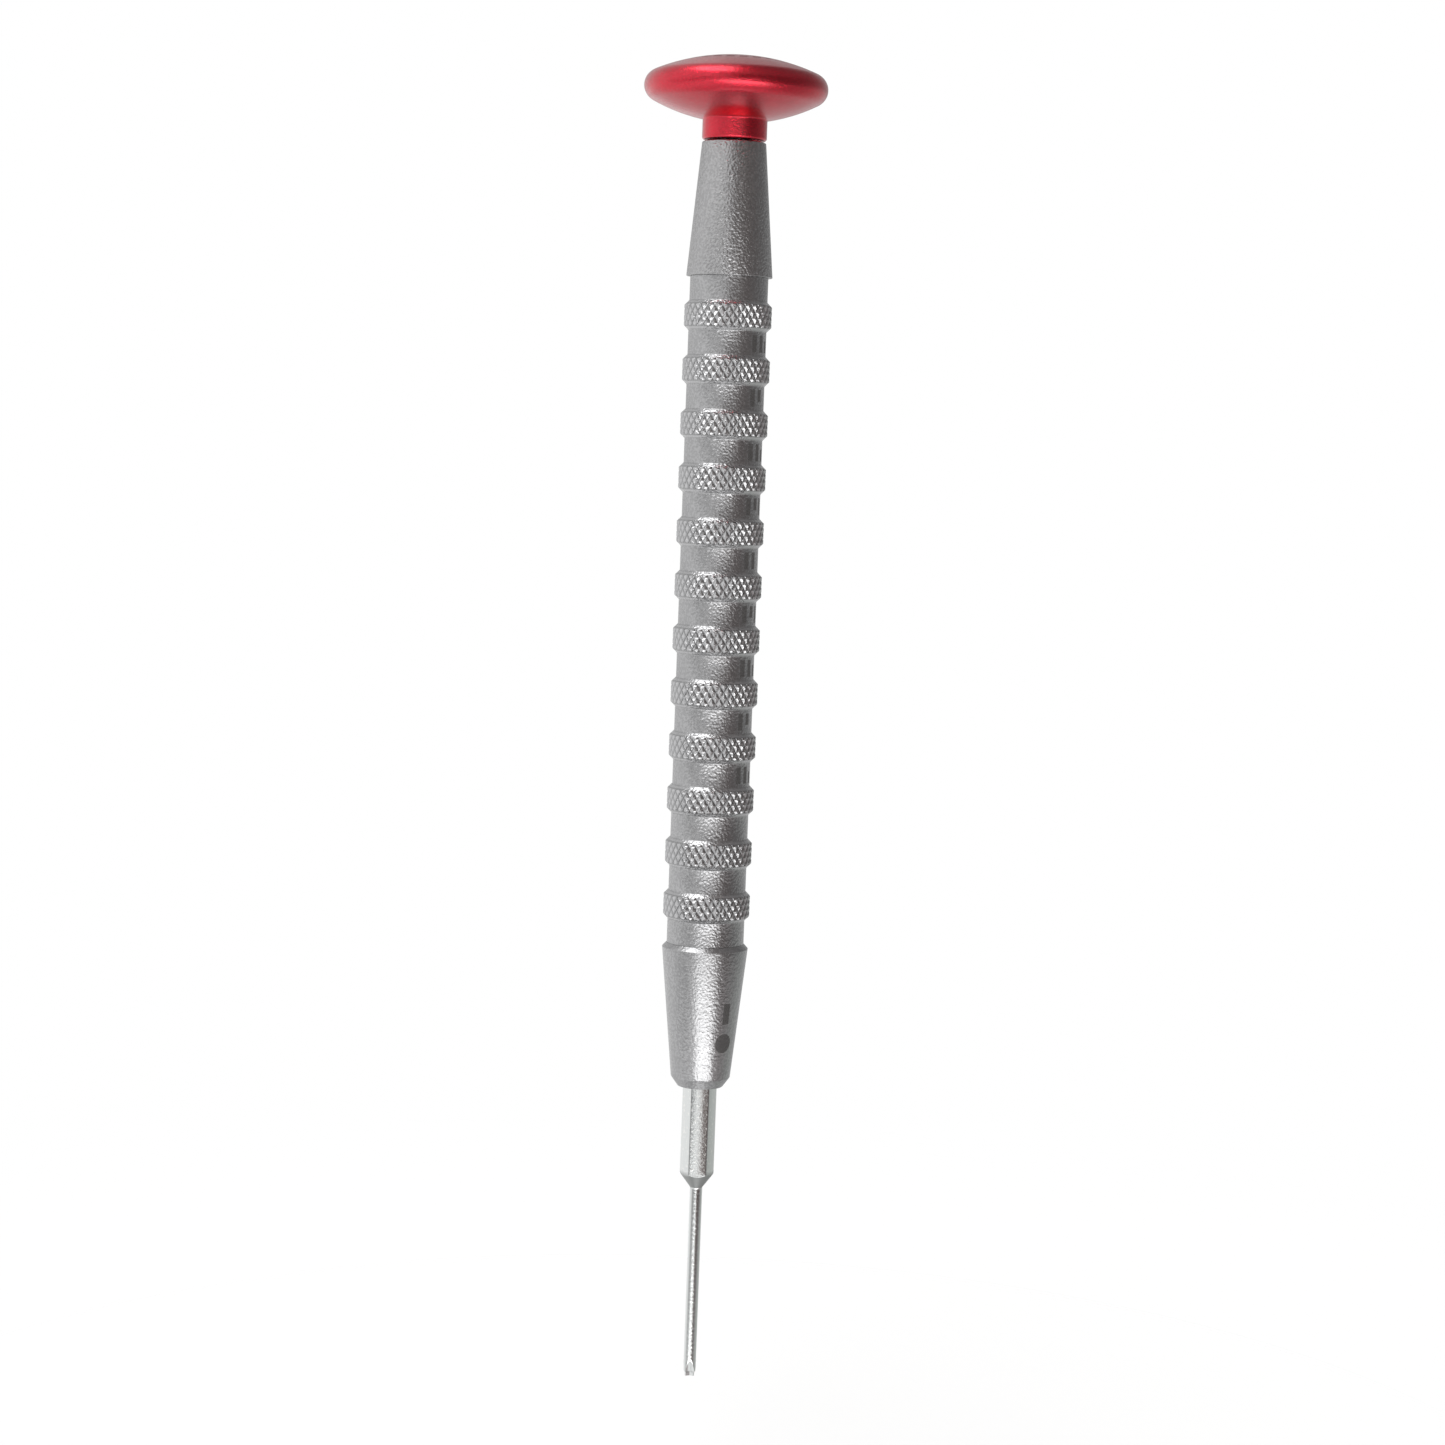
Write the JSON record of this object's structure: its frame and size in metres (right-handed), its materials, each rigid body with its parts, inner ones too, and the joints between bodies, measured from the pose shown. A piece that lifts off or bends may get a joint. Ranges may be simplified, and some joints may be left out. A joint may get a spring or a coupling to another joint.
{
  "type": "watchmaker screwdriver",
  "caption": "Slim precision screwdriver: free-turning dished finger cap on a ball bearing, knurled-band grip, push-in hex-shank blade with a three-winged tip.",
  "frame": {"origin": "the lowest point of the tip, on the screwdriver's axis", "axes": "+Z along the axis from the tip to the finger cap; a flat of the hexagonal shank faces -Y; the tool is the same seen from any side, apart from the shank's flats and the three wings"},
  "size_m": [0.0204, 0.0204, 0.149],
  "materials": {
    "cap_anodised": "satin red anodising",
    "handle_alloy": "fine bead-blasted, clear anodised",
    "grip_alloy": "bead-blasted grooves, bright knurled bands",
    "blade_steel": "bright plated, ground",
    "magnet_plating": "nickel plated",
    "bearing_steel": "ground",
    "ball_steel": "polished",
    "shield_steel": "pressed, satin",
    "cage_nylon": "natural nylon",
    "screw_steel": "black oxide",
    "shim_brass": "rolled"
  },
  "bodies": {
    "handle": {"nose_cone": "handle_alloy", "socket_magnet": "magnet_plating", "grip_barrel": "grip_alloy", "tail_cone": "handle_alloy", "bearing_shim": "shim_brass", "bearing_inner_ring": "bearing_steel", "cap_screw": "screw_steel"},
    "cap": {"finger_cap": "cap_anodised", "bearing_outer_ring": "bearing_steel", "bearing_lower_shield": "shield_steel", "bearing_upper_shield": "shield_steel"},
    "ball_set": {"bearing_cage": "cage_nylon", "bearing_ball_1": "ball_steel", "bearing_ball_2": "ball_steel", "bearing_ball_3": "ball_steel", "bearing_ball_4": "ball_steel", "bearing_ball_5": "ball_steel", "bearing_ball_6": "ball_steel", "bearing_ball_7": "ball_steel"},
    "blade": {"blade": "blade_steel"}
  },
  "joints": [
    {"name": "cap_spin", "type": "hinge", "parent": "handle", "child": "cap", "pos_m": [0, 0, 0.14145], "axis": [0, 0, 1], "continuous": true},
    {"name": "ball_set_spin", "type": "hinge", "parent": "handle", "child": "ball_set", "pos_m": [0, 0, 0.14145], "axis": [0, 0, 1], "continuous": true},
    {"name": "blade_pull", "type": "slide", "parent": "handle", "child": "blade", "axis": [0, 0, -1], "range_m": [0, 0.012]}
  ],
  "couplings": [
    {"joint": "ball_set_spin", "follows": "cap_spin", "ratio": 0.6111}
  ]
}
